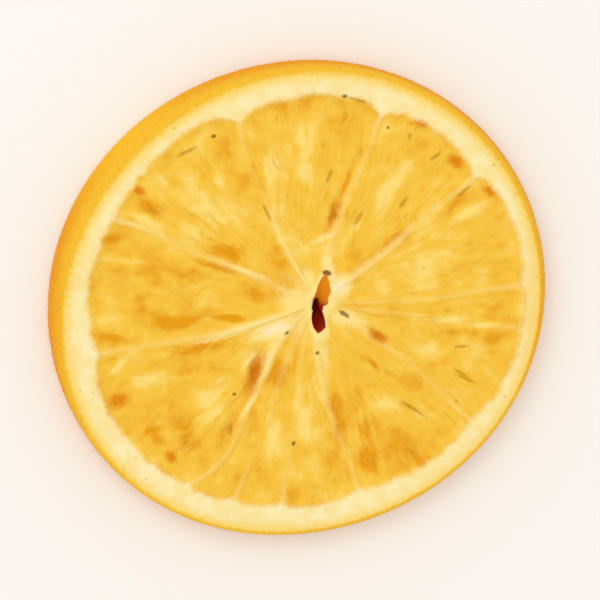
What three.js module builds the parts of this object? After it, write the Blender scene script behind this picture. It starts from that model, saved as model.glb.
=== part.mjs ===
// A freeze-dried orange slice, lying flat on the wider of its two cut faces.
// One solid in millimetres: +Z is up through the thickness, and the origin is the middle of its underside.

import * as THREE from 'three';
import { ParametricGeometry } from 'three/addons/geometries/ParametricGeometry.js';

// Driving dimensions
const thickness = 5;
const pulpSink = 0.5;
const membraneRise = 0.45;
const membraneHalfWidth = 0.5;
const coreWidth = 2.6;
const edgeRound = 0.45;
const wallBulge = 0.2;
const poreDepth = 0.08;

// The unevenness of the faces: streaks from the core to the rind, rows of juice sacs along them, and the slow
// swell of the upper face with its wave lengths across, up and along the slant
const streakDepth = 0.15;
const sacDepth = 0.1;
const sacRows = 9;
const faceSwell = 0.12;
const swellAcross = 9;
const swellUp = 11;
const swellSlant = 6;

// The lines round the slice, each nearly a circle. It may be shifted from the middle, stretched along
// one direction and swung out on three sides. Directions are in degrees from +X.
const bottomRim = { radius: 34.4, stretch: 1.08, stretchAt: 17, swing: 0, swingAt: 0, shift: 0, shiftAt: 0 };
const topRim = {
  radius: 33.45, stretch: 1.27, stretchAt: 29, swing: 0.26, swingAt: -28, shift: 0.25, shiftAt: -97,
};
const pulpLine = {
  radius: 30.2, stretch: 1.18, stretchAt: 20, swing: 0.34, swingAt: -11, shift: 0.42, shiftAt: 8,
};

// The core, and the bent slot that goes through it: two narrow lobes from one waist, and a ledge in the upper
// lobe. In each direction from the core it has a reach on the upper face, at the ledge and on the underside.
const core = new THREE.Vector2(2, 0);
const slotLedge = 1.3;
const slot = [
  { at: 20, above: 1.85, ledge: 0.6, below: 0.45 },
  { at: 61, above: 3.8, ledge: 0.6, below: 0.45 },
  { at: 71, above: 4.7, ledge: 0.6, below: 0.45 },
  { at: 78, above: 3.9, ledge: 0.5, below: 0.45 },
  { at: 92, above: 1.6, ledge: 0.45, below: 0.45 },
  { at: 112, above: 0.95, ledge: 0.45, below: 0.45 },
  { at: 164, above: 0.65, ledge: 0.45, below: 0.45 },
  { at: 205, above: 0.75, ledge: 0.6, below: 0.45 },
  { at: 242, above: 1.35, ledge: 1.1, below: 0.6 },
  { at: 262, above: 3.6, ledge: 3.2, below: 1.2 },
  { at: 272, above: 4.5, ledge: 3.9, below: 1.4 },
  { at: 289, above: 3.9, ledge: 2.9, below: 1 },
  { at: 301, above: 1.5, ledge: 1, below: 0.6 },
  { at: 328, above: 1.1, ledge: 0.7, below: 0.45 },
  { at: 347, above: 1.6, ledge: 0.6, below: 0.45 },
];

// The membranes between the segments, seen from the core: the direction at the rind, halfway and at the
// core, how high each stands near the core and near the rind, as a share of the full rise, and the cusp of
// pith at its end: how far it points inwards and how far it spreads along the rind on either side
const membranes = [
  { rim: 3.3, middle: 0.5, root: -4, inner: 0.3, outer: 0.4, cusp: 0.7, before: 0.8, after: 1 },
  { rim: 37.6, middle: 36.5, root: 33, inner: 0.7, outer: 0.5, cusp: 1.7, before: 0.8, after: 3 },
  { rim: 70.8, middle: 73, root: 80, inner: 0.4, outer: 0.5, cusp: 2.3, before: 1.3, after: 1.5 },
  { rim: 113, middle: 118, root: 121, inner: 0.9, outer: 0.4, cusp: 2, before: 6, after: 1.8 },
  { rim: 156.8, middle: 156, root: 160, inner: 0.5, outer: 0.5, cusp: 0.7, before: 1, after: 0.6 },
  { rim: 192.2, middle: 196, root: 203, inner: 1, outer: 0.4, cusp: 1.5, before: 2.2, after: 1.5 },
  { rim: 234.3, middle: 236.5, root: 208, inner: 1, outer: 0.4, cusp: 0.9, before: 1, after: 0.6 },
  { rim: 247.2, middle: 246.5, root: 240, inner: 0.2, outer: 0.3, cusp: 0.8, before: 0.8, after: 0.8 },
  { rim: 260.2, middle: 259, root: 252, inner: 0.2, outer: 0.2, cusp: 0.7, before: 0.6, after: 0.6 },
  { rim: 282.5, middle: 277, root: 264, inner: 0.6, outer: 0.3, cusp: 0.9, before: 1.2, after: 1.2 },
  { rim: 321.9, middle: 326, root: 336, inner: 0.4, outer: 0.3, cusp: 0.6, before: 2.5, after: 1.5 },
  { rim: 351.3, middle: 350.5, root: 349, inner: 0.3, outer: 0.3, cusp: 0.5, before: 0.8, after: 0.8 },
];

// Tears in the pulp of the upper face: the middle, the length, the width, the direction of the length
// and the depth
const tears = [
  { x: 4.4, y: 12, length: 5, width: 1.5, turn: 68, depth: 1 },
  { x: 1, y: 9.4, length: 4.5, width: 2, turn: 25, depth: 0.3 },
  { x: -6.6, y: -10, length: 6.5, width: 2.1, turn: 72, depth: 1.2 },
  { x: -10.4, y: -17.6, length: 6.5, width: 1.5, turn: 62, depth: 0.7 },
  { x: 10.8, y: -5.1, length: 3, width: 1.3, turn: 148, depth: 0.7 },
  { x: 13, y: 8.4, length: 14, width: 0.9, turn: 38, depth: 0.25 },
  { x: 15.4, y: -15.2, length: 5, width: 0.9, turn: 145, depth: 0.4 },
];

// How finely the surface is stepped: columns run from the core to the rind, rings run round
const columnSpacing = 2.6;
const topPulpRings = 14;
const bottomPulpRings = 8;
const wallRings = 3;
const slotDepths = [(thickness + slotLedge) / 2, slotLedge, slotLedge / 2];
const lipStep = 0.97;

const { euclideanModulo, lerp, smoothstep } = THREE.MathUtils;
const degree = Math.PI / 180;
const fullTurn = 2 * Math.PI;

/** A repeatable number from -1 to 1 for each whole number. */
function scatter(number) {
  const wave = Math.sin(number * 12.9898) * 43758.5453;
  return 2 * (wave - Math.floor(wave)) - 1;
}

/** The distance from the slice's middle to a line, in a direction. */
function lineRadius({ radius, stretch, stretchAt, swing, swingAt, shift, shiftAt }, angle) {
  const stretched = stretch * Math.cos(2 * (angle - stretchAt * degree));
  const swung = swing * Math.cos(3 * (angle - swingAt * degree));
  const shifted = shift * Math.cos(angle - shiftAt * degree);
  return radius + stretched + swung + shifted;
}

/** The distance from the core to a line, along a ray from the core. */
function reach(line, angle) {
  let distance = line.radius;
  for (let pass = 0; pass < 8; pass += 1) {
    const x = core.x + distance * Math.cos(angle);
    const y = core.y + distance * Math.sin(angle);
    distance += lineRadius(line, Math.atan2(y, x)) - Math.hypot(x, y);
  }
  return distance;
}

/** The slot's reach at one level, in a direction from the core, evenly between the directions given. */
function slotReachAt(level, angle) {
  const direction = euclideanModulo(angle / degree, 360);
  const next = Math.max(slot.findIndex(({ at }) => at > direction), 0);
  const [first, second] = [slot.at(next - 1), slot[next]];
  const gap = euclideanModulo(second.at - first.at, 360);
  return lerp(first[level], second[level], euclideanModulo(direction - first.at, 360) / gap);
}

/** The distance from the core to the slot's wall, at a depth below the upper face. */
function slotReach(angle, depth) {
  const [above, ledge, below] = ['above', 'ledge', 'below'].map((level) => slotReachAt(level, angle));
  return depth < slotLedge
    ? lerp(above, ledge, depth / slotLedge)
    : lerp(ledge, below, (depth - slotLedge) / (thickness - slotLedge));
}

/** A membrane's direction at a share of the way from the core to the rind. */
function membraneAngle(index, share) {
  const turns = Math.floor(index / membranes.length);
  const { rim, middle, root } = membranes[index - turns * membranes.length];
  const pull = 2 * middle - (root + rim) / 2;
  const rest = 1 - share;
  return (rest * rest * root + 2 * share * rest * pull + share * share * rim) * degree + turns * fullTurn;
}

/** The columns of one segment: one on its first membrane, one close beside each membrane, the rest even. */
function segmentColumns(segment) {
  const turn = membraneAngle(segment + 1, 1) - membraneAngle(segment, 1);
  const arc = turn * pulpLine.radius;
  const beside = membraneHalfWidth / arc;
  const steps = Math.max(2, Math.round(turn / degree / columnSpacing) - 2);
  const shares = [0];
  for (let step = 0; step <= steps; step += 1) {
    shares.push(beside + (1 - 2 * beside) * (step / steps));
  }
  return shares.map((share) => ({ segment, share, arc }));
}

const columns = membranes.flatMap((_, segment) => segmentColumns(segment));

/** The direction of a column from the core, at a share of the way out to the rind. */
function columnAngle({ segment, share }, outward) {
  const first = membraneAngle(segment, outward);
  const second = membraneAngle(segment + 1, outward);
  return first + (second - first) * share;
}

/** How far a column is from the nearest membrane, measured along the rind. */
function besideMembrane({ share, arc }) {
  return Math.min(share, 1 - share) * arc;
}

/** How far the pith points into the pulp at a column, from the cusps of the membranes on either side. */
function cuspDepth({ segment, share, arc }) {
  const first = membranes[segment];
  const second = membranes[(segment + 1) % membranes.length];
  const fromFirst = first.cusp * Math.exp((-share * arc) / first.after);
  return fromFirst + second.cusp * Math.exp((-(1 - share) * arc) / second.before);
}

/** How much of a membrane's rise a column has, at a share of the way out. Membranes stay apart at the core. */
function membraneShare(column, outward) {
  const nearest = (column.segment + (column.share > 0.5 ? 1 : 0)) % membranes.length;
  const { inner, outer } = membranes[nearest];
  const strength = inner + (outer - inner) * outward;
  const distance = besideMembrane(column) * Math.max(outward, 0.2);
  return strength * Math.exp(-((distance / membraneHalfWidth) ** 2));
}

/** How far the pulp lies below the level of the rind, at a share of the way from the slot to the rind. */
function pulpDrop(column, columnNumber, outward, slotDistance) {
  const streak = streakDepth * scatter(columnNumber);
  const sacs = sacDepth * scatter(columnNumber * 7 + Math.round(outward * sacRows));
  const inPulp = smoothstep(slotDistance, 0.3, coreWidth) * (1 - smoothstep(outward, lipStep, 1));
  return inPulp * (pulpSink + streak + sacs - membraneRise * membraneShare(column, outward));
}

/** How deep the tears cut at a point. */
function tearDepth(x, y) {
  const depths = tears.map((tear) => {
    const turn = tear.turn * degree;
    const along = (x - tear.x) * Math.cos(turn) + (y - tear.y) * Math.sin(turn);
    const across = (y - tear.y) * Math.cos(turn) - (x - tear.x) * Math.sin(turn);
    return tear.depth * Math.exp(-((2 * along / tear.length) ** 2) - (2 * across / tear.width) ** 2);
  });
  return Math.max(...depths);
}

/** The slow unevenness of the upper face, from slight warping as it dried. */
function swell(x, y) {
  const cross = Math.sin(x / swellAcross + 0.8) * Math.cos(y / swellUp - 0.5);
  return faceSwell * (cross + 0.5 * Math.sin((x - y) / swellSlant));
}

/** A run of rings across one zone of the section, in order. */
function rings(count, makeRing) {
  return Array.from({ length: count }, (_, ring) => makeRing(ring));
}

const wallStep = 1 / (wallRings - 1);
const bottomPulpStep = 1 / bottomPulpRings;

// The rings round the slice's section: out over the top, down the wall, in below and up the slot
const stations = [
  ...rings(topPulpRings, (ring) => ({ zone: 'pulp', top: true, step: ring / topPulpRings })),
  { zone: 'pulp', top: true, step: lipStep },
  { zone: 'rind', top: true, step: 0 },
  { zone: 'rind', top: true, step: 0.5 },
  { zone: 'rind', top: true, step: 1 },
  ...rings(wallRings, (ring) => ({ zone: 'wall', step: ring * wallStep })),
  { zone: 'rind', top: false, step: 1 },
  { zone: 'rind', top: false, step: 0 },
  { zone: 'pulp', top: false, step: lipStep },
  ...rings(bottomPulpRings, (ring) => ({ zone: 'pulp', top: false, step: 1 - (ring + 1) * bottomPulpStep })),
  ...slotDepths.map((depth) => ({ zone: 'slot', depth })),
];

/** The distance from the core and the height of a point in the pulp. */
function pulpPoint(columnNumber, { top, step }, pulpEdge) {
  const column = columns[columnNumber];
  const slotEdge = slotReach(columnAngle(column, 0), top ? 0 : thickness);
  const distance = slotEdge + (pulpEdge - slotEdge) * step;
  const streakNumber = columnNumber + (top ? 0 : columns.length);
  const drop = pulpDrop(column, streakNumber, step, distance - slotEdge);
  return { distance, height: top ? thickness - drop : Math.max(drop, 0) };
}

/** The distance from the core and the height of a point on the flat rind of either face. */
function rindPoint(rindAngle, { top, step }, pulpEdge) {
  const rim = reach(top ? topRim : bottomRim, rindAngle) - edgeRound;
  return { distance: pulpEdge + (rim - pulpEdge) * step, height: top ? thickness : 0 };
}

/** The distance from the core and the height of a point on the outer wall. */
function wallPoint(columnNumber, rindAngle, { step }) {
  const upper = reach(topRim, rindAngle);
  const lower = reach(bottomRim, rindAngle);
  const bulge = wallBulge + poreDepth * scatter(columnNumber * 3);
  const distance = upper + (lower - upper) * step + bulge * Math.sin(Math.PI * step);
  return { distance, height: thickness - edgeRound - (thickness - 2 * edgeRound) * step };
}

/** The distance from the core and the height of a point on the slot's wall. */
function slotPoint(column, { depth }) {
  return { distance: slotReach(columnAngle(column, 0), depth), height: thickness - depth };
}

/** Puts the point where a column crosses a ring into target. */
function surfacePoint(columnNumber, station, target) {
  const column = columns[columnNumber];
  const rindAngle = columnAngle(column, 1);
  const pulpEdge = reach(pulpLine, rindAngle) - cuspDepth(column);
  const places = {
    pulp: () => pulpPoint(columnNumber, station, pulpEdge),
    rind: () => rindPoint(rindAngle, station, pulpEdge),
    wall: () => wallPoint(columnNumber, rindAngle, station),
    slot: () => slotPoint(column, station),
  };
  const { distance, height } = places[station.zone]();
  const outward = { pulp: station.step, rind: 1, wall: 1, slot: 0 }[station.zone];
  const angle = columnAngle(column, outward);
  const x = core.x + distance * Math.cos(angle);
  const y = core.y + distance * Math.sin(angle);
  const torn = station.zone === 'pulp' && station.top ? tearDepth(x, y) : 0;
  target.set(x, y, height - torn + swell(x, y) * smoothstep(height, 0, thickness));
}

/** Makes the slice's closed surface, a ring about the slot. */
function makeSlice() {
  const geometry = new ParametricGeometry(
    (round, across, target) => {
      const columnNumber = Math.round((1 - round) * columns.length) % columns.length;
      const station = stations[Math.round(across * stations.length) % stations.length];
      surfacePoint(columnNumber, station, target);
    },
    columns.length,
    stations.length,
  );
  geometry.computeBoundingBox();
  const middle = geometry.boundingBox.getCenter(new THREE.Vector3());
  geometry.translate(-middle.x, -middle.y, 0);
  const material = new THREE.MeshStandardMaterial({ color: 0xf7c34a, roughness: 0.75, metalness: 0 });
  const mesh = new THREE.Mesh(geometry, material);
  mesh.name = 'orange_slice';
  return mesh;
}

const group = new THREE.Group();
group.add(makeSlice());

export default group;
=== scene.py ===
"""The looks of a freeze-dried orange slice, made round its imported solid.

Shape sizes are in millimetres, as in the solid's own drawing, and become metres when the mesh is made.
Directions are in degrees from +X. The membranes meet at the core, and the slice is made in rings round it.
"""

import math

import bpy
import numpy as np
from mathutils import Matrix, Vector


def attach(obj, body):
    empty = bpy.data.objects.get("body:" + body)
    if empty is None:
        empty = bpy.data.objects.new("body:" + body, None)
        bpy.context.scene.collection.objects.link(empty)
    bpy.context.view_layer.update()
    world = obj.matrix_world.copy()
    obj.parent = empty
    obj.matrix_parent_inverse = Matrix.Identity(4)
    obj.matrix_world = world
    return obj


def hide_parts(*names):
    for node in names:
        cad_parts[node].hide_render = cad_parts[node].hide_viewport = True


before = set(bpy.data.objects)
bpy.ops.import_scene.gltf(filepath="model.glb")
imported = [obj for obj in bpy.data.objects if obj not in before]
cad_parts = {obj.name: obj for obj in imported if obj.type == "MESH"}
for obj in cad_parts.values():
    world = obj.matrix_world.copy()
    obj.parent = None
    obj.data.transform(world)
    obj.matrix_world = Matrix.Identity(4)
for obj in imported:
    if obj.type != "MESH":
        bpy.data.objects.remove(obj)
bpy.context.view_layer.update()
MM = 0.001

# The slice's driving dimensions, the same as the solid's
THICKNESS = 5.0
PULP_SINK = 0.5
MEMBRANE_RISE = 0.45
MEMBRANE_HALF_WIDTH = 0.5
CORE_WIDTH = 2.6
EDGE_ROUND = 0.45
WALL_BULGE = 0.2
FACE_SWELL = 0.12

# The zest's cut edge on the upper face: its mean width, how much that varies, and where it is widest
ZEST_WIDTH_MEAN = 0.7
ZEST_WIDTH_SWING = 0.28
ZEST_WIDEST_AT = 130

# Relief finer than the solid's: the juice sacs' domes and uneven heights, fibres and slow waves in the pulp,
# the tears' wavering edges, pores, lumps and a slight dome in the pith, glands in the wall, the slot's rough
# and pinched wall, and how far apart the zest's pits lie
SAC_DOME = 0.1
SAC_UNEVENNESS = 0.16
FIBRE_RELIEF = 0.03
PULP_WAVE = 0.16
TEAR_WAVER = 0.3
PITH_PORE = 0.03
PITH_LUMP = 0.045
PITH_DOME = 0.1
GLAND_DOME = 0.08
GLAND_SINK = 0.06
SLOT_ROUGHNESS = 0.15
SLOT_PINCH = 0.2
PIT_SPACING = 0.95

# The ragged edge of the pulp: the size of its steps, and how many fit round the slice
RAGGED_EDGE = ((0.25, 41), (0.2, 157), (0.1, 503))

# The lines round the slice, each nearly a circle. It may be shifted from the middle, stretched along one
# direction and swung out on three sides.
BOTTOM_RIM = dict(radius=34.4, stretch=1.08, stretch_at=17, swing=0, swing_at=0, shift=0, shift_at=0)
TOP_RIM = dict(radius=33.45, stretch=1.27, stretch_at=29, swing=0.26, swing_at=-28, shift=0.25, shift_at=-97)
PULP_LINE = dict(radius=30.2, stretch=1.18, stretch_at=20, swing=0.34, swing_at=-11, shift=0.42, shift_at=8)

CORE = (2.0, 0.0)

# The slot: direction from the core, then its reach on the upper face, at the ledge and on the underside
SLOT_LEDGE = 1.3
SLOT = (
    (20, 1.85, 0.6, 0.45),
    (61, 3.8, 0.6, 0.45),
    (71, 4.7, 0.6, 0.45),
    (78, 3.9, 0.5, 0.45),
    (92, 1.6, 0.45, 0.45),
    (112, 0.95, 0.45, 0.45),
    (164, 0.65, 0.45, 0.45),
    (205, 0.75, 0.6, 0.45),
    (242, 1.35, 1.1, 0.6),
    (262, 3.6, 3.2, 1.2),
    (272, 4.5, 3.9, 1.4),
    (289, 3.9, 2.9, 1.0),
    (301, 1.5, 1.0, 0.6),
    (328, 1.1, 0.7, 0.45),
    (347, 1.6, 0.6, 0.45),
)

# Each membrane's direction at the rind, halfway and at the core, its strength near the core, halfway and near
# the rind, and the cusp of pith at its end: its length and its spread along the rind on either side
MEMBRANES = (
    (3.3, 0.5, -4, 0.25, 0.25, 0.5, 0.7, 0.8, 1),
    (37.6, 36.5, 33, 0.7, 0.4, 0.6, 1.7, 0.8, 3),
    (70.8, 73, 80, 0.35, 0.3, 0.7, 2.3, 1.3, 1.5),
    (113, 118, 121, 0.9, 0.1, 0.6, 2, 6, 1.8),
    (156.8, 156, 160, 0.5, 0.35, 0.7, 0.7, 1, 0.6),
    (192.2, 196, 203, 1, 0.3, 0.5, 1.5, 2.2, 1.5),
    (234.3, 236.5, 208, 1, 0.4, 0.4, 0.9, 1, 0.6),
    (247.2, 246.5, 240, 0.2, 0.1, 0.5, 0.8, 0.8, 0.8),
    (260.2, 259, 252, 0.2, 0.1, 0.4, 0.7, 0.6, 0.6),
    (282.5, 277, 264, 0.6, 0.25, 0.3, 0.9, 1.2, 1.2),
    (321.9, 326, 336, 0.4, 0.2, 0.3, 0.6, 2.5, 1.5),
    (351.3, 350.5, 349, 0.25, 0.2, 0.4, 0.5, 0.8, 0.8),
)

# Tears in the upper face. They, the patches and the marks are given as: middle across and up, length, width,
# the length's direction, and in a tear its depth. A patch may have its strength there, which is 1 otherwise.
TEARS = (
    (4.4, 12, 5, 1.5, 68, 1.0),
    (1, 9.4, 4.5, 2, 25, 0.3),
    (-6.6, -10, 6.5, 2.1, 72, 1.2),
    (-10.4, -17.6, 6.5, 1.5, 62, 0.7),
    (10.8, -5.1, 3, 1.3, 148, 0.7),
    (13, 8.4, 14, 0.9, 38, 0.25),
    (15.4, -15.2, 5, 0.9, 145, 0.4),
)

# The pale core, with the arms it sends into the pulp. The strongest patches are nearly white.
PALE_PATCHES = (
    (-0.9, -0.6, 9.5, 5, 100), (5.1, 2, 4, 3.4, 40, 1.7), (-3.8, -3.7, 7, 2.6, 18, 1.8),
    (3.4, 5.7, 2.4, 1.8, 90, 1.1), (-4.6, -7.6, 7, 1.3, 76, 1.1), (-7.5, -8.2, 3.8, 0.7, 44),
    (-7.4, -14.2, 6, 0.9, 56), (-11, -4.5, 9, 0.9, 14), (3, 9, 4.2, 1.1, 25), (3, -7.3, 6, 1.8, 100, 0.8),
    (6.2, -2.4, 6, 3, -10), (0.8, 3.2, 3.5, 2.5, 90), (-1.8, 7, 5.5, 0.9, 112, 0.45),
    (-7.5, 4.4, 8, 0.9, 160, 0.8),
)

# Soft patches and streaks in the pulp, deeper gold or nearer to cream
GOLD_PATCHES = (
    (-10.6, 21.8, 5.5, 2, 95, 0.35), (-7.4, 18, 4.5, 2.4, 50, 0.3), (-21.2, 13.2, 3.5, 1.5, 130),
    (-26.4, 9.5, 3.5, 1.5, 10), (-11.5, 7.6, 5.5, 2.2, 170), (-12.2, 5.4, 7, 1, 162),
    (-3.6, 6.6, 3.5, 3, 130, 0.8), (-1.8, 2.6, 2.2, 2.2, 0), (-6.6, 1.1, 2.5, 1.8, 120),
    (5.7, 26, 4.5, 2.6, 100, 0.7), (6.3, 17, 6, 1, 68), (12, 7.8, 11, 1, 40, 0.5),
    (21.8, 13.3, 6, 1.3, 38, 0.8), (-17.8, -2.3, 6, 2, 5), (-10.5, -2, 6, 1.3, 169),
    (-14.6, -6.1, 7, 1.4, 8), (-26.4, -4.4, 6, 1.6, 168), (-16.5, -18.5, 5, 4, 60),
    (-20.5, -18.6, 4, 2, 130), (-3.4, -10, 4.5, 2.6, 95), (4.3, -14.4, 3.5, 2.4, 90),
    (5.2, -18.4, 5, 2.6, 95), (9.6, -22.5, 5.5, 3, 95, 0.75), (16, -22, 4, 1.6, 150, 0.8),
    (21.5, -5, 7, 1.8, 5), (27, -6.6, 4, 2.6, 110, 0.5), (9.5, -8.6, 7, 0.9, 145),
    (-21, 4, 12, 7, 170, 0.45), (8.8, -18.6, 2.6, 1.6, 100, 1.1), (15, -22, 10, 5, 150, 0.45),
)
CREAM_PATCHES = (
    (-22.2, 12, 5.5, 1.6, 155), (-24.5, 6.2, 6.5, 1, 175), (-11.8, 17.6, 4, 1.8, 110),
    (-15.8, 16.4, 4, 2, 60), (-4.6, 18.5, 9, 1.8, 100), (0.5, 20.5, 9, 2.2, 95), (15, 7, 5, 1.3, 25),
    (24, 12.5, 5, 1.1, 28), (12, 15.5, 7, 2.2, 50, 0.6), (-21.5, -10.4, 6, 1.6, 10),
    (-26, -8.6, 4.5, 0.8, 45), (-13, -13.5, 7, 4, 50), (-4.2, -18, 7, 2.4, 95), (0, -16.5, 8, 2.2, 95),
    (11.4, -15, 5, 2.2, 25), (18.5, -7.6, 4, 2.6, 150), (25.5, -3.9, 4.5, 0.9, 3), (20, -2.9, 6, 1.2, 5),
    (7.5, 10.5, 6, 1.4, 55), (-13.5, 12.5, 10, 8, 130, 0.6), (19, 6, 15, 9, 15, 0.35),
    (-3.5, 17, 14, 8, 105, 0.25),
)

# Where the rind is a lighter yellow, and where it is warmer
LIGHT_RIND = ((-24, 23.5, 22, 9, 44),)
WARM_RIND = ((-35.5, -3, 26, 5, 92), (-4, 35.5, 22, 4.5, 3), (33, -1.5, 16, 8, 87))

# Marks on the upper face: dark bits, the slot's dark upper end, a gold spot, brown scratches and orange marks
# Some of the dark bits are small pits painted dark as their shade, such as the one at 5.9, -1.8. The rest are
# dark bits.
DARK_MARKS_AND_PIT_SHADE = (
    (-12.4, 23.5, 0.7, 0.5, 0), (5.9, 28.8, 0.8, 0.5, 0), (12.1, 24.3, 0.5, 0.4, 116),
    (-2.2, -4.2, 0.8, 0.5, 40), (-9.6, -12.8, 0.6, 0.5, 0), (-1.2, -20, 0.6, 0.5, 60),
    (5.9, -1.8, 1.7, 0.6, 149), (2.1, -7.2, 0.6, 0.5, 0),
)
SLOT_END = ((3.35, 4.1, 1.3, 0.8, -10),)
GOLD_SPOT = ((-1.7, 2.4, 1.8, 1.3, 10),)
SCRATCHES = (
    (-16.2, 21.4, 2.8, 0.55, 25), (8, 28.2, 3, 0.4, 163), (15.2, 23, 0.9, 0.55, 90),
    (3.8, 17.6, 2.2, 0.55, 66), (8, 11.7, 2.2, 0.55, 60), (14.2, 13.6, 1.8, 0.55, 50),
    (18.8, 20.2, 1.8, 0.5, 35), (22.8, 15.2, 2.4, 0.45, 40), (-5, 12.8, 2.6, 0.5, 115),
    (22.6, -10.6, 2.8, 0.4, 147), (23.3, -11.4, 3.2, 0.4, 155), (22.6, -6.8, 1.9, 0.4, 3),
    (-10.1, -17.9, 1.6, 0.55, 80), (15.9, -15.6, 3.6, 0.45, 147),
)
ORANGE_MARKS = (
    (17, 25, 2.6, 1.3, 174), (21.7, 19.4, 2.2, 1.6, 137), (26.6, 15.1, 2, 1.3, 145),
    (-25.9, -13.3, 2.8, 2, 20), (-22.9, 16.1, 1.8, 1.1, 150), (-18.5, -21.5, 1.8, 1.4, 134),
    (10.8, -5.1, 2.4, 1.1, 148),
)

# The mean of the pulp's cell pattern: how far inside its cell a point lies, and the cell's tone
MEAN_CREST = 0.6
MEAN_TONE = 0.5

# The slice's colours as they show on screen, red, green and blue from 0 to 255
COLOURS = {
    "deep pulp": (232, 156, 10),
    "pulp": (246, 196, 63),
    "pale pulp": (251, 218, 116),
    "dark strand": (224, 160, 34),
    "pale strand": (252, 222, 126),
    "brown strand": (206, 134, 20),
    "dash": (176, 124, 36),
    "membrane": (252, 226, 145),
    "core": (251, 226, 140),
    "white core": (252, 231, 182),
    "orange mark": (225, 134, 2),
    "torn pulp": (216, 132, 13),
    # painted shade along the pulp's step down from the pith
    "painted_edge_shade": (222, 164, 44),
    "pith": (249, 225, 152),
    "pale pith": (250, 234, 176),
    "warm pith": (248, 212, 122),
    "inner zest": (249, 214, 112),
    "zest": (243, 188, 46),
    "warm zest": (241, 172, 28),
    "wall": (237, 159, 18),
    "light wall": (246, 189, 37),
    "pit": (226, 144, 12),
    "rind dot": (196, 142, 40),
    "gold spot": (240, 184, 34),
    "scratch": (184, 127, 16),
    "dark mark and pit shade": (108, 76, 16),
    "slot end": (130, 60, 6),
    # The slot's wall in painted light and shade: a lit orange, a dark red shade, and a brighter red shade
    # deep in the hole
    "lit upper lobe": (229, 137, 12),
    "shaded lower lobe": (165, 38, 20),
    "deep slot shade": (205, 48, 26),
    "floor": (249, 245, 240),
}

# How finely the surface is stepped, and how near to the rind the pulp's last ring lies, as a share
COLUMNS = 800
TOP_PULP_RINGS = 60
TOP_RIND_RINGS = 15
ROUND_RINGS = 4
WALL_RINGS = 12
BOTTOM_RIND_RINGS = 6
BOTTOM_PULP_RINGS = 11
SLOT_RINGS = 12
TOP_LIP = 0.99
BOTTOM_LIP = 0.985


def radians(degrees):
    return np.asarray(degrees) * math.pi / 180


def ease(value, low, high):
    """A smooth step from 0 to 1 as the value goes from low to high."""
    share = np.clip((value - low) / (high - low), 0, 1)
    return share * share * (3 - 2 * share)


def scatter(*numbers):
    """A repeatable number from 0 to 1 for each set of whole numbers."""
    mixed = sum(np.asarray(number) * step for number, step in zip(numbers, (12.9898, 78.233, 37.719)))
    wave = np.sin(mixed + 0.5) * 43758.5453
    return wave - np.floor(wave)


def noise(across, along, period, seed):
    """Smooth noise from -1 to 1 on a grid of whole steps, which repeats across after a period."""
    left, low = np.floor(across), np.floor(along)
    fx, fy = ease(across - left, 0, 1), ease(along - low, 0, 1)

    def corner(right, up):
        return scatter((left + right) % period, low + up, seed)

    lower = corner(0, 0) * (1 - fx) + corner(1, 0) * fx
    upper = corner(0, 1) * (1 - fx) + corner(1, 1) * fx
    return 2 * (lower * (1 - fy) + upper * fy) - 1


def round_noise(angle, along, count, seed):
    """Smooth noise that fits a whole count of times round the slice."""
    return noise(angle / math.tau * count, along + 0 * angle, count, seed)


def drift(x, y, size, seed):
    """Smooth noise from -1 to 1 over the slice, in bumps about one size across."""
    return noise(x / size + 500, y / size + 500, 1000, seed)


def cells(across, along, period, seed):
    """A pattern of cells: how far inside its cell a point lies, from 0 at the edge, and the cell's tone."""
    nearest = np.full(across.shape, 9.0)
    second = np.full(across.shape, 9.0)
    tone = np.zeros(across.shape)
    for step_across in (-1, 0, 1):
        for step_along in (-1, 0, 1):
            cell = np.floor(across) + step_across
            ring = np.floor(along) + step_along
            middle_across = cell + 0.15 + 0.7 * scatter(cell % period, ring, seed)
            middle_along = ring + scatter(cell % period, ring, seed + 1)
            gap = np.hypot(across - middle_across, along - middle_along)
            closer = gap < nearest
            second = np.where(closer, nearest, np.minimum(second, gap))
            tone = np.where(closer, scatter(cell % period, ring, seed + 2), tone)
            nearest = np.where(closer, gap, nearest)
    return ease(second - nearest, 0, 0.5), tone


def juice_sacs(angle, distance, seed):
    """The pulp's long cells, which point at the core. Nearer to it, fewer fit round, and they fade."""
    turn = angle / math.tau
    outer = cells(turn * 92, distance / 6, 92, seed)
    inner = cells(turn * 46, distance / 4.5, 46, seed + 3)
    near = 1 - ease(distance, 9, 15)
    crest, tone = [first * (1 - near) + second * near for first, second in zip(outer, inner)]
    fade = ease(distance, 3, 10)
    return MEAN_CREST + (crest - MEAN_CREST) * fade, MEAN_TONE + (tone - MEAN_TONE) * fade


def patch_cover(patches, x, y):
    """How much soft patches cover each point. A patch has its own strength, or depth, in its middle."""
    cover = 0 * x
    for middle_x, middle_y, length, width, turn, *strength in patches:
        turn = math.radians(turn)
        along = (x - middle_x) * math.cos(turn) + (y - middle_y) * math.sin(turn)
        across = (y - middle_y) * math.cos(turn) - (x - middle_x) * math.sin(turn)
        fade = np.exp(-((2 * along / length) ** 2) - (2 * across / width) ** 2)
        cover = np.maximum(cover, fade * sum(strength or (1,)))
    return cover


def line_radius(line, angle):
    """The distance from the slice's middle to a line, in a direction."""
    stretched = line["stretch"] * np.cos(2 * (angle - radians(line["stretch_at"])))
    swung = line["swing"] * np.cos(3 * (angle - radians(line["swing_at"])))
    shifted = line["shift"] * np.cos(angle - radians(line["shift_at"]))
    return line["radius"] + stretched + swung + shifted


def place_at(angle, distance):
    """The place in a direction and at a distance from the core."""
    return CORE[0] + distance * np.cos(angle), CORE[1] + distance * np.sin(angle)


def reach(line, angle):
    """The distance from the core to a line, along a ray from the core."""
    distance = np.full(np.shape(angle), float(line["radius"]))
    for _ in range(8):
        x, y = place_at(angle, distance)
        distance = distance + line_radius(line, np.arctan2(y, x)) - np.hypot(x, y)
    return distance


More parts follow.
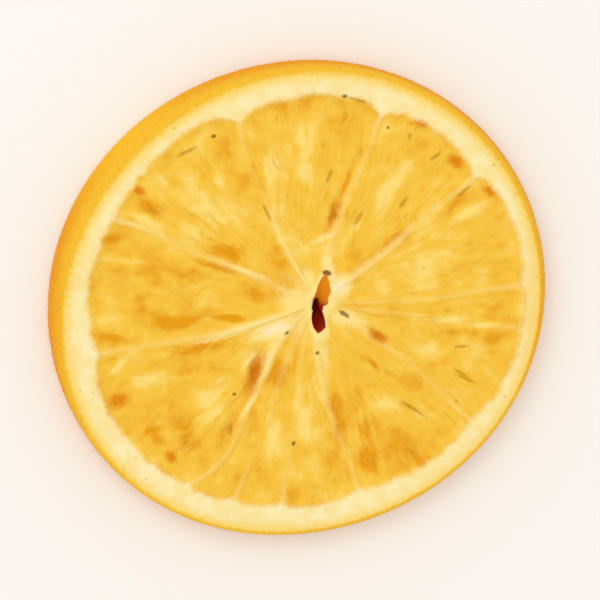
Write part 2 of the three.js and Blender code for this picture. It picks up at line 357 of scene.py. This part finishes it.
def slot_reach(angle, depth):
    """The distance from the core to the slot's wall, at a depth below the upper face."""
    direction, *reaches = zip(*SLOT)
    above, ledge, below = [np.interp(np.degrees(angle), direction, row, period=360) for row in reaches]
    if depth < SLOT_LEDGE:
        return above + (ledge - above) * depth / SLOT_LEDGE
    return ledge + (below - ledge) * (depth - SLOT_LEDGE) / (THICKNESS - SLOT_LEDGE)


def membrane_angle(index, share):
    """A membrane's direction at a share of the way from the core to the rind."""
    turns, index = divmod(index, len(MEMBRANES))
    rim, middle, root = MEMBRANES[index][:3]
    pull = 2 * middle - (root + rim) / 2
    rest = 1 - share
    waver = 0.7 * np.sin(9 * share + 2.1 * index) * np.sin(math.pi * share)
    bent = rest * rest * root + 2 * share * rest * pull + share * share * rim
    return radians(bent + waver) + turns * math.tau


def make_columns():
    """Each column's segment, its share of the way across it, and the segment's arc."""
    columns = []
    for segment in range(len(MEMBRANES)):
        turn = membrane_angle(segment + 1, 1.0) - membrane_angle(segment, 1.0)
        count = max(8, round(COLUMNS * turn / math.tau))
        for step in np.arange(count) / count:
            closer_by_membranes = step - 0.5 * math.sin(math.tau * step) / math.tau
            columns.append((segment, closer_by_membranes, turn * PULP_LINE["radius"]))
    return [np.array(values) for values in zip(*columns)]


SEGMENT, SHARE, ARC = make_columns()
FROM_MEMBRANE = np.minimum(SHARE, 1 - SHARE) * ARC
NEAREST_MEMBRANE = (SEGMENT + (SHARE > 0.5)) % len(MEMBRANES)


def column_angle(outward):
    """The direction of every column from the core, at a share of the way out to the rind."""
    edges = np.array([membrane_angle(index, outward) for index in range(len(MEMBRANES) + 1)])
    return edges[SEGMENT] + (edges[SEGMENT + 1] - edges[SEGMENT]) * SHARE


def cusp_depth():
    """How far the pith points into the pulp in every column, from the cusps on either side."""
    cusp, before, after = np.array([row[6:] for row in MEMBRANES]).T
    following = (SEGMENT + 1) % len(MEMBRANES)
    from_first = cusp[SEGMENT] * np.exp(-SHARE * ARC / after[SEGMENT])
    return from_first + cusp[following] * np.exp(-(1 - SHARE) * ARC / before[following])


CORE_ANGLE = column_angle(0.0)
RIND_ANGLE = column_angle(1.0)
RAGGED = sum(size * round_noise(RIND_ANGLE, 0, count, count) for size, count in RAGGED_EDGE)
PULP_EDGE = reach(PULP_LINE, RIND_ANGLE) - cusp_depth() + RAGGED
ZEST_WIDTH = ZEST_WIDTH_MEAN + ZEST_WIDTH_SWING * np.cos(RIND_ANGLE - radians(ZEST_WIDEST_AT))


def membrane_strength(outward):
    """How strong the nearest membrane is in every column, at a share of the way out to the rind."""
    inner, middle, outer = np.array([row[3:6] for row in MEMBRANES])[NEAREST_MEMBRANE].T
    early = ease(outward, 0.3, 0.6)
    late = ease(outward, 0.75, 0.97)
    faded = 1 + 0.35 * noise(NEAREST_MEMBRANE, np.full(SHARE.shape, outward * 9), 12, 61)
    return faded * (inner * (1 - early) + middle * early * (1 - late) + outer * late)


def tear_depth(x, y):
    """How deep the tears cut at a point. Their edges are ragged."""
    return patch_cover(TEARS, x + TEAR_WAVER * drift(x, y, 0.9, 71), y + TEAR_WAVER * drift(x, y, 0.9, 72))


def swell(x, y):
    """The slow unevenness of the upper face, from slight warping as it dried."""
    return FACE_SWELL * (np.sin(x / 9 + 0.8) * np.cos(y / 11 - 0.5) + 0.5 * np.sin((x - y) / 6))


class Rings:
    """The slice's rings in order, each with its places, heights and surface values in every column."""

    NAMES = (
        "rind", "zest", "membrane_gap", "membrane_force", "tone", "tear", "hollow", "pale", "gold", "cream",
    )

    def __init__(self):
        self.points = []
        self.values = {name: [] for name in self.NAMES}

    def add(self, angle, distance, height, **values):
        x, y = place_at(angle, distance)
        height = height + swell(x, y) * ease(height, 0, THICKNESS)
        self.points.append(np.stack([x, y, height], 1))
        for name in self.NAMES:
            self.values[name].append(np.broadcast_to(values.get(name, 0.0), x.shape))


def pulp_ring(rings, outward, top):
    """One ring of the pulp: sunk between the membranes, uneven with its sacs, and torn on the upper face."""
    angle = column_angle(outward)
    start = slot_reach(CORE_ANGLE, 0 if top else THICKNESS)
    distance = start + (PULP_EDGE - start) * outward
    x, y = place_at(angle, distance)
    seed = 10 if top else 40
    bent = angle + 1.5 * drift(x, y, 6, seed) / np.maximum(distance, 6)
    crest, tone = juice_sacs(bent, distance + 2 * drift(x, y, 5, seed + 1), seed + 2)
    fine = round_noise(bent, distance / 1.6, 300, seed + 9) * ease(distance, 5, 14)
    gap = FROM_MEMBRANE * max(outward, 0.2)
    force = membrane_strength(outward)
    membrane = force * np.exp(-((gap / MEMBRANE_HALF_WIDTH) ** 2))
    in_pulp = ease(distance - start, 0.3, CORE_WIDTH) * (1 - ease(outward, 0.94, 1))
    sacs = SAC_DOME * (crest - MEAN_CREST) + SAC_UNEVENNESS * (tone - MEAN_TONE)
    bumps = sacs + FIBRE_RELIEF * fine + PULP_WAVE * drift(x, y, 4, seed + 10)
    drop = in_pulp * (PULP_SINK - bumps * (1 - membrane) - MEMBRANE_RISE * membrane)
    tear = tear_depth(x, y) if top else 0 * x
    near_slot = 1 - ease(distance - start, 0.3, CORE_WIDTH)
    rings.add(
        angle, distance, THICKNESS - drop - tear if top else np.maximum(drop, 0.02),
        rind=distance - PULP_EDGE, zest=distance - PULP_EDGE - 3, membrane_gap=gap, membrane_force=force,
        tone=tone, tear=tear, pale=np.maximum(near_slot, patch_cover(PALE_PATCHES, x, y)),
        gold=patch_cover(GOLD_PATCHES, x, y), cream=patch_cover(CREAM_PATCHES, x, y),
    )


def rind_tint(distance):
    """Where the rind is warmer and lighter, at a distance from the core in every column."""
    x, y = place_at(RIND_ANGLE, distance)
    return dict(gold=patch_cover(WARM_RIND, x, y), cream=patch_cover(LIGHT_RIND, x, y))


def rind_ring(rings, step, top):
    """One ring of the spongy pith and the zest's cut edge, flat but for its pores."""
    rim = reach(TOP_RIM if top else BOTTOM_RIM, RIND_ANGLE)
    end = rim - EDGE_ROUND
    distance = PULP_EDGE + (end - PULP_EDGE) * step
    pores = round_noise(RIND_ANGLE, distance / 0.45, 565, 21)
    lumps = round_noise(RIND_ANGLE, distance / 1.1, 207, 22)
    dome = PITH_DOME * math.sin(math.pi * min(step * 1.2, 1))
    away_from_edges = ease(step, 0, 0.15) * (1 - ease(step, 0.85, 1))
    lift = (dome + PITH_PORE * pores + PITH_LUMP * lumps) * away_from_edges
    rings.add(
        RIND_ANGLE, distance, THICKNESS + lift if top else np.maximum(lift, 0),
        rind=distance - PULP_EDGE, zest=distance - (rim - ZEST_WIDTH), **rind_tint(distance),
    )


def wall_ring(rings, step):
    """One ring of the zest's outer wall, pebbled by its oil glands, with rounded edges above and below."""
    upper, lower = reach(TOP_RIM, RIND_ANGLE), reach(BOTTOM_RIM, RIND_ANGLE)
    height = THICKNESS * (1 - step)
    from_edge = min(height, THICKNESS - height)
    inset = EDGE_ROUND - math.sqrt(EDGE_ROUND ** 2 - max(EDGE_ROUND - from_edge, 0) ** 2)
    bulge = WALL_BULGE * math.sin(math.pi * step)
    gland, _ = cells(RIND_ANGLE / math.tau * 240, np.full(RIND_ANGLE.shape, height / 0.9), 240, 31)
    glands = (GLAND_DOME * gland - GLAND_SINK) * ease(from_edge, 0, 0.5)
    distance = upper + (lower - upper) * step + bulge + glands - inset
    rings.add(
        RIND_ANGLE, distance, np.full(distance.shape, height),
        rind=distance - PULP_EDGE, zest=ZEST_WIDTH + THICKNESS - height, **rind_tint(distance),
    )


def slot_ring(rings, depth):
    """One ring of the slot's wall, at a depth below the upper face: ragged, and closest halfway down."""
    rough = SLOT_ROUGHNESS * round_noise(CORE_ANGLE, depth, 31, 51) - SLOT_PINCH
    rough = rough * math.sin(math.pi * depth / THICKNESS)
    rings.add(
        CORE_ANGLE, slot_reach(CORE_ANGLE, depth) + rough, np.full(CORE_ANGLE.shape, THICKNESS - depth),
        rind=-10.0, zest=-10.0, hollow=depth, pale=1.0, membrane_gap=9.0,
    )


def make_rings():
    """All rings: out over the top, down the wall, in below and up the slot. They are closest at the pith."""
    rings = Rings()
    for step in np.arange(TOP_PULP_RINGS) / TOP_PULP_RINGS:
        pulp_ring(rings, step + 0.12 * math.sin(math.pi * step) * step, top=True)
    pulp_ring(rings, TOP_LIP, top=True)
    for step in np.linspace(0, 1, TOP_RIND_RINGS):
        rind_ring(rings, step ** 1.2, top=True)
    round_share = EDGE_ROUND / THICKNESS
    for turn in np.linspace(0, 1, ROUND_RINGS + 1)[1:]:
        wall_ring(rings, round_share * (1 - math.cos(turn * math.pi / 2)))
    for step in np.linspace(0, 1, WALL_RINGS + 1)[1:]:
        wall_ring(rings, round_share + (1 - 2 * round_share) * step)
    for turn in np.linspace(0, 1, ROUND_RINGS + 1)[1:-1]:
        wall_ring(rings, 1 - round_share * (1 - math.sin(turn * math.pi / 2)))
    for step in np.linspace(1, 0, BOTTOM_RIND_RINGS):
        rind_ring(rings, step, top=False)
    pulp_ring(rings, BOTTOM_LIP, top=False)
    for step in np.linspace(1, 0, BOTTOM_PULP_RINGS + 1)[1:]:
        pulp_ring(rings, step, top=False)
    for depth in np.linspace(THICKNESS, 0, SLOT_RINGS + 1)[1:-1]:
        slot_ring(rings, depth)
    return rings


def make_slice():
    """The slice's mesh: every ring joined to the next, and the last to the first."""
    rings = make_rings()
    count, width = len(rings.points), len(SHARE)
    points = np.concatenate(rings.points)
    low, high = points.min(0), points.max(0)
    points[:, :2] -= (low[:2] + high[:2]) / 2
    ring, column = np.meshgrid(np.arange(count), np.arange(width), indexing="ij")
    here, after = ring * width, (ring + 1) % count * width
    beside = (column + 1) % width
    faces = np.stack([here + column, after + column, after + beside, here + beside], -1).reshape(-1, 4)
    mesh = bpy.data.meshes.new("orange_slice_flesh")
    mesh.from_pydata(points * MM, [], faces.tolist())
    mesh.shade_smooth()
    for name, values in rings.values.items():
        layer = mesh.attributes.new(name, "FLOAT", "POINT")
        layer.data.foreach_set("value", np.concatenate(values).astype(np.float32))
    slice_piece = bpy.data.objects.new("orange_slice_flesh", mesh)
    bpy.context.scene.collection.objects.link(slice_piece)
    return slice_piece


class Nodes:
    """Short ways to add and join the nodes of one material, with the values that most of its layers share."""

    def __init__(self, material):
        material.use_nodes = True
        self.tree = material.node_tree
        self.shader = self.tree.nodes["Principled BSDF"]
        coordinates = self.tree.nodes.new("ShaderNodeTexCoord")
        self.place = self.vector("SCALE", coordinates.outputs["Object"], 1 / MM)
        axes = self.tree.nodes.new("ShaderNodeSeparateXYZ")
        self.put(axes.inputs[0], self.place)
        _, self.place_y, self.height = axes.outputs
        self.grain = self.noise(self.place, 1.6, 3.0, 0.6)
        self.ragged = self.math("MULTIPLY_ADD", self.grain, 1.2, -0.6)

    def put(self, socket, value):
        if isinstance(value, bpy.types.NodeSocket):
            self.tree.links.new(value, socket)
        elif value is not None:
            socket.default_value = value

    def math(self, operation, first, second=None, third=None):
        node = self.tree.nodes.new("ShaderNodeMath")
        node.operation = operation
        for socket, value in zip(node.inputs, (first, second, third)):
            self.put(socket, value)
        return node.outputs[0]

    def vector(self, operation, first, second=None):
        node = self.tree.nodes.new("ShaderNodeVectorMath")
        node.operation = operation
        self.put(node.inputs[0], first)
        self.put(node.inputs[3 if operation == "SCALE" else 1], second)
        return node.outputs["Value" if operation == "LENGTH" else "Vector"]

    def value(self, name):
        """One of the mesh's surface values."""
        node = self.tree.nodes.new("ShaderNodeAttribute")
        node.attribute_name = name
        return node.outputs["Fac"]

    def noise(self, place, scale, detail=2.0, roughness=0.5, output="Fac"):
        node = self.tree.nodes.new("ShaderNodeTexNoise")
        self.put(node.inputs["Vector"], place)
        node.inputs["Scale"].default_value = scale
        node.inputs["Detail"].default_value = detail
        node.inputs["Roughness"].default_value = roughness
        return node.outputs[output]

    def cells(self, place, spacing):
        """A loose pattern of round cells, as the node whose outputs tell them apart."""
        node = self.tree.nodes.new("ShaderNodeTexVoronoi")
        self.put(node.inputs["Vector"], place)
        node.inputs["Scale"].default_value = 1 / spacing
        return node

    def step(self, value, low, high, start=0.0, end=1.0):
        """Smoothly from start to end as the value goes from low to high."""
        node = self.tree.nodes.new("ShaderNodeMapRange")
        node.interpolation_type = "SMOOTHSTEP"
        for socket, given in zip(node.inputs, (value, low, high, start, end)):
            self.put(socket, given)
        return node.outputs[0]

    def blend(self, share, first, second):
        """From the first colour to the second as the share goes from 0 to 1."""
        node = self.tree.nodes.new("ShaderNodeMix")
        node.data_type = "RGBA"
        self.put(node.inputs["Factor"], share)
        self.put(node.inputs[6], first)
        self.put(node.inputs[7], second)
        return node.outputs[2]

    def cover(self, colour, name, share, strength=1.0):
        """Lays a named colour over another, by a share and a strength."""
        return self.blend(self.math("MULTIPLY", share, strength), colour, paint(name))

    def warp(self, scale, amount, moved=0.0):
        """An offset from soft noise."""
        bend = self.noise(self.vector("ADD", self.place, (moved, 0, 0)), scale, 1.0, output="Color")
        return self.vector("SCALE", self.vector("SUBTRACT", bend, (0.5, 0.5, 0.5)), amount)

    def fibre_place(self, across, along, moved=0.0):
        """A place that runs round the core across the fibres and out from the core along them."""
        curves = self.vector("ADD", self.warp(0.13, 7.0, moved), self.warp(0.3, 1.6, moved))
        flat = self.vector("MULTIPLY", self.vector("ADD", self.place, curves), (1, 1, 0))
        out = self.vector("SUBTRACT", flat, (*CORE, 0))
        distance = self.vector("LENGTH", out)
        round_place = self.vector("SCALE", self.vector("NORMALIZE", out), across)
        combine = self.tree.nodes.new("ShaderNodeCombineXYZ")
        self.put(combine.inputs[2], self.math("MULTIPLY_ADD", distance, along, moved))
        return self.vector("ADD", round_place, combine.outputs[0])

    def from_core(self):
        """The distance from the core, level with the faces."""
        out = self.vector("SUBTRACT", self.place, (*CORE, 0))
        return self.vector("LENGTH", self.vector("MULTIPLY", out, (1, 1, 0)))

    def dots(self, place, spacing, radius, share):
        """Small round dots, in a share of the cells of a loose pattern."""
        pattern = self.cells(place, spacing)
        size = radius / spacing
        near = self.step(pattern.outputs["Distance"], size * 0.6, size * 1.2, 1.0, 0.0)
        chosen = self.tree.nodes.new("ShaderNodeSeparateColor")
        self.put(chosen.inputs[0], pattern.outputs["Color"])
        return self.math("MULTIPLY", near, self.math("LESS_THAN", chosen.outputs[0], share))

    def pits(self, spacing):
        """Round pits close together: 1 in the middle of a pit and 0 between them."""
        pattern = self.cells(self.vector("ADD", self.place, self.warp(0.6, 0.6)), spacing)
        return self.step(pattern.outputs["Distance"], 0.05, 0.5, 1.0, 0.0)

    def strands(self, across, moved):
        """Thin curving lines along the fibres, shown in places and not near the core."""
        wave = self.noise(self.fibre_place(across, 0.11, moved), 1.0, 1.0)
        off_line = self.math("ABSOLUTE", self.math("SUBTRACT", wave, 0.5))
        shown = self.noise(self.vector("ADD", self.place, (moved, 0, 0)), 0.3)
        line = self.step(off_line, 0.0, 0.05, 1.0, 0.0)
        line = self.math("MULTIPLY", line, self.step(self.from_core(), 6, 12))
        return self.math("MULTIPLY", line, self.step(shown, 0.45, 0.6))

    def marks(self, marks, soft=0.4):
        """How much small marks cover the upper face: 1 inside a mark and 0 outside, with a ragged edge."""
        nearest = 9.0
        for x, y, length, width, turn in marks:
            node = self.tree.nodes.new("ShaderNodeMapping")
            node.vector_type = "TEXTURE"
            self.put(node.inputs["Vector"], self.place)
            node.inputs["Location"].default_value = (x, y, 0)
            node.inputs["Rotation"].default_value = (0, 0, math.radians(turn))
            node.inputs["Scale"].default_value = (length / 2, width / 2, 1000)
            nearest = self.math("MINIMUM", self.vector("LENGTH", node.outputs[0]), nearest)
        inside = self.step(self.math("ADD", nearest, self.ragged), 1 - soft, 1 + soft, 1.0, 0.0)
        on_top = self.step(self.height, THICKNESS / 2, THICKNESS / 2 + 0.5)
        return self.math("MULTIPLY", inside, on_top)


def paint(name):
    """A named colour as the shader's linear values."""
    linear = [((c / 255 + 0.055) / 1.055) ** 2.4 if c > 10 else c / 255 / 12.92 for c in COLOURS[name]]
    return (*linear, 1.0)


def pulp_light(nodes):
    """How light the flesh is: soft broad patches, streaks along the fibres, and the deep and pale patches.

    Near the core, where the fibres crowd together, the streaks fade.
    """
    away = nodes.step(nodes.from_core(), 3, 14, 0.1, 1.0)

    def streaks(across, along, moved, detail):
        wave = nodes.noise(nodes.fibre_place(across, along, moved), 1.0, detail)
        return nodes.math("MULTIPLY_ADD", nodes.math("SUBTRACT", wave, 0.5), away, 0.5)

    broad = nodes.noise(nodes.vector("ADD", nodes.place, nodes.warp(0.5, 2.4)), 0.2, 1.0)
    middle = streaks(16, 0.2, 7, 1.0)
    fine = streaks(46, 0.9, 19, 2.0)
    mottle = nodes.noise(nodes.place, 0.6, 2.0)
    gold = nodes.math("MULTIPLY", nodes.value("gold"), nodes.step(middle, 0.3, 0.7, 1.3, 0.75))
    cream = nodes.math("MULTIPLY", nodes.value("cream"), nodes.step(middle, 0.3, 0.7, 0.75, 1.3))
    weights = (
        (broad, 0.75), (middle, 0.34), (fine, 0.05), (mottle, 0.43), (nodes.value("tone"), 0.08),
        (gold, -0.42), (cream, 0.38),
    )
    light = 0.0
    for value, weight in weights:
        light = nodes.math("MULTIPLY_ADD", value, weight, light)
    return light


def pulp_colour(nodes):
    """Golden flesh, with thin strands and a few dark dashes along the fibres."""
    light = pulp_light(nodes)
    colour = nodes.blend(nodes.step(light, 0.4, 0.9), paint("deep pulp"), paint("pulp"))
    colour = nodes.cover(colour, "pale pulp", nodes.step(light, 0.83, 1.23))
    colour = nodes.cover(colour, "dark strand", nodes.strands(20, 13), 0.2)
    colour = nodes.cover(colour, "pale strand", nodes.strands(16, 29), 0.15)
    in_gold = nodes.math("MULTIPLY", nodes.strands(34, 53), nodes.value("gold"))
    colour = nodes.cover(colour, "brown strand", in_gold, 0.75)
    dashes = nodes.dots(nodes.fibre_place(60, 0.5, 41), 1.8, 0.3, 0.1)
    return nodes.cover(colour, "dash", dashes, 0.35)


def with_membranes(nodes, colour):
    """The pale membranes, and the pale core with its nearly white patches."""
    gap = nodes.math("MULTIPLY_ADD", nodes.ragged, 0.3, nodes.value("membrane_gap"))
    membrane = nodes.math("MULTIPLY", nodes.step(gap, 0.0, 0.75, 1.0, 0.0), nodes.value("membrane_force"))
    colour = nodes.cover(colour, "membrane", membrane, 0.8)
    pale = nodes.math("MULTIPLY_ADD", nodes.ragged, 0.5, nodes.value("pale"))
    colour = nodes.cover(colour, "core", nodes.step(pale, 0.15, 0.95), 0.9)
    return nodes.cover(colour, "white core", nodes.step(pale, 0.9, 1.7))


def with_tears(nodes, colour):
    """Orange marks, and a darker brown-orange in the tears, stronger where they are deeper."""
    colour = nodes.cover(colour, "orange mark", nodes.marks(ORANGE_MARKS, soft=0.8))
    tear = nodes.math("MULTIPLY_ADD", nodes.ragged, 0.8, nodes.value("tear"))
    return nodes.cover(colour, "torn pulp", nodes.step(tear, 0.1, 1.2))


def with_pith(nodes, colour, rind):
    """The cloudy pith, and in places a painted shade line just inside it, where the pulp steps down from it.
    """
    painted_edge_shade = nodes.math("MULTIPLY", nodes.step(rind, -0.9, -0.3), nodes.step(rind, -0.2, 0.1, 1.0, 0.0))
    in_places = nodes.step(nodes.noise(nodes.place, 0.16), 0.45, 0.6)
    colour = nodes.cover(colour, "painted_edge_shade", nodes.math("MULTIPLY", painted_edge_shade, in_places), 0.35)
    cloudy = nodes.noise(nodes.place, 0.5, 2.0)
    pith = nodes.blend(nodes.step(cloudy, 0.35, 0.65), paint("pith"), paint("pale pith"))
    pith = nodes.cover(pith, "warm pith", nodes.value("gold"), 0.8)
    return nodes.blend(nodes.step(rind, -0.7, 0.55), colour, pith)


def with_zest(nodes, colour, zest, pits):
    """The zest, from its cut edge to the deeper colour of the outer wall, with its pits."""
    cut_edge = nodes.blend(nodes.value("gold"), paint("zest"), paint("warm zest"))
    wall = nodes.blend(nodes.value("cream"), paint("wall"), paint("light wall"))
    colour = nodes.cover(colour, "inner zest", nodes.step(zest, -1.5, 0.1))
    colour = nodes.blend(nodes.step(zest, -0.3, 0.7), colour, cut_edge)
    colour = nodes.blend(nodes.step(zest, 1.2, 4.2), colour, wall)
    return nodes.cover(colour, "pit", pits, 0.25)


def with_small_marks(nodes, colour, rind):
    """Dots in the rind, a gold spot, brown scratches, small dark bits and the slot's dark upper end."""
    dots = nodes.math("MULTIPLY", nodes.dots(nodes.place, 1.5, 0.2, 0.4), nodes.step(rind, 0.3, 0.9))
    colour = nodes.cover(colour, "rind dot", dots, 0.5)
    colour = nodes.cover(colour, "gold spot", nodes.marks(GOLD_SPOT, soft=0.7), 0.8)
    colour = nodes.cover(colour, "scratch", nodes.marks(SCRATCHES), 0.6)
    # dark bits, and small pits painted dark as their shade
    colour = nodes.cover(colour, "dark mark and pit shade", nodes.marks(DARK_MARKS_AND_PIT_SHADE), 0.78)
    return nodes.cover(colour, "slot end", nodes.marks(SLOT_END), 0.9)


def with_slot(nodes, colour):
    """The slot's wall in painted light and shade: a lit orange in the upper lobe, and a painted dark red
    shade in the lower one and further down in both, for the hole's shade and red bounce light.
    """
    hollow = nodes.math("MULTIPLY_ADD", nodes.ragged, 0.3, nodes.value("hollow"))
    wall = nodes.blend(nodes.step(nodes.place_y, -0.7, 0.3), paint("shaded lower lobe"), paint("lit upper lobe"))
    colour = nodes.blend(nodes.step(hollow, 0.08, 0.2), colour, wall)
    return nodes.cover(colour, "deep slot shade", nodes.step(hollow, 1.5, 3.5))


def finest_relief(nodes, rind, pits):
    """Relief too small for the mesh: fibres, mostly in the pulp, grain, and the zest's pits."""
    fibres = nodes.noise(nodes.fibre_place(60, 1.6, 3), 1.0, 2.0)
    fibre_height = nodes.step(rind, -0.2, 0.2, 0.8, 0.2)
    relief = nodes.math("MULTIPLY_ADD", fibres, fibre_height, nodes.math("MULTIPLY", nodes.grain, 0.8))
    relief = nodes.math("MULTIPLY_ADD", pits, -4.0, relief)
    bump = nodes.tree.nodes.new("ShaderNodeBump")
    bump.inputs["Strength"].default_value = 0.09
    bump.inputs["Distance"].default_value = 0.2 * MM
    nodes.put(bump.inputs["Height"], relief)
    return bump.outputs["Normal"]


def slice_material():
    """The whole slice's surface, in layers: each covers the one before it where it lies."""
    material = bpy.data.materials.new("freeze_dried_orange")
    nodes = Nodes(material)
    rind = nodes.math("MULTIPLY_ADD", nodes.ragged, 0.65, nodes.value("rind"))
    zest = nodes.math("ADD", nodes.value("zest"), nodes.ragged)
    pits = nodes.math("MULTIPLY", nodes.pits(PIT_SPACING), nodes.step(zest, 0.2, 1.0))
    colour = with_membranes(nodes, pulp_colour(nodes))
    colour = with_tears(nodes, colour)
    colour = with_pith(nodes, colour, rind)
    colour = with_zest(nodes, colour, zest, pits)
    colour = with_small_marks(nodes, colour, rind)
    colour = with_slot(nodes, colour)
    nodes.put(nodes.shader.inputs["Base Color"], colour)
    nodes.put(nodes.shader.inputs["Roughness"], nodes.step(nodes.grain, 0.3, 0.7, 0.66, 0.86))
    nodes.put(nodes.shader.inputs["Normal"], finest_relief(nodes, rind, pits))
    nodes.shader.inputs["Specular IOR Level"].default_value = 0.12
    return material


def make_floor():
    """A plain pale floor, a hair under the slice so that the two don't share a plane."""
    half, drop = 3.0, 0.05 * MM
    corners = [(-half, -half, -drop), (half, -half, -drop), (half, half, -drop), (-half, half, -drop)]
    mesh = bpy.data.meshes.new("floor")
    mesh.from_pydata(corners, [], [(0, 1, 2, 3)])
    floor = bpy.data.objects.new("floor", mesh)
    bpy.context.scene.collection.objects.link(floor)
    material = bpy.data.materials.new("floor")
    material.use_nodes = True
    shader = material.node_tree.nodes["Principled BSDF"]
    shader.inputs["Base Color"].default_value = paint("floor")
    shader.inputs["Roughness"].default_value = 0.8
    shader.inputs["Specular IOR Level"].default_value = 0.1
    mesh.materials.append(material)


def aim(thing, direction, distance, target):
    """Puts a camera or light at a distance from a target and turns it there, with +Y upwards in its view."""
    back = Vector(direction).normalized()
    right = Vector((0, 1, 0)).cross(back).normalized()
    up = back.cross(right)
    turn = Matrix((right, up, back)).transposed().to_4x4()
    thing.matrix_world = Matrix.Translation(Vector(target) + back * distance) @ turn


def make_light(name, power, size, direction, distance, colour=(1, 1, 1)):
    """A soft square light aimed at the slice."""
    light = bpy.data.lights.new(name, "AREA")
    light.energy = power
    light.size = size
    light.color = colour
    thing = bpy.data.objects.new(name, light)
    bpy.context.scene.collection.objects.link(thing)
    aim(thing, direction, distance, (0, 0, 0))


def make_lights():
    """Soft daylight from the upper left, and an even pale surrounding."""
    world = bpy.data.worlds.new("studio")
    bpy.context.scene.world = world
    world.use_nodes = True
    background = world.node_tree.nodes["Background"]
    background.inputs["Color"].default_value = (0.98, 0.97, 0.94, 1)
    background.inputs["Strength"].default_value = 0.91
    make_light("key", 1.9, 0.6, (-0.5, 0.55, 1.0), 1.0, (0.95, 0.98, 1.0))


def make_camera():
    """The camera looks almost straight down, leaning towards the slice's upper left, through a long lens."""
    lean, lean_towards = math.radians(12), math.radians(135)
    view_width, distance = 84 * MM, 0.7
    camera = bpy.data.cameras.new("camera")
    camera.sensor_width = 36
    camera.lens = camera.sensor_width * distance / view_width
    camera.clip_start = 0.01
    thing = bpy.data.objects.new("camera", camera)
    bpy.context.scene.collection.objects.link(thing)
    sideways = math.sin(lean)
    direction = (sideways * math.cos(lean_towards), sideways * math.sin(lean_towards), math.cos(lean))
    aim(thing, direction, distance, (0, 0, THICKNESS * MM / 2))
    bpy.context.scene.camera = thing


make_camera()
make_lights()
make_floor()
flesh = make_slice()
flesh.data.materials.append(slice_material())
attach(flesh, "root")
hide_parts("orange_slice")

bpy.context.scene.view_settings.view_transform = "Standard"
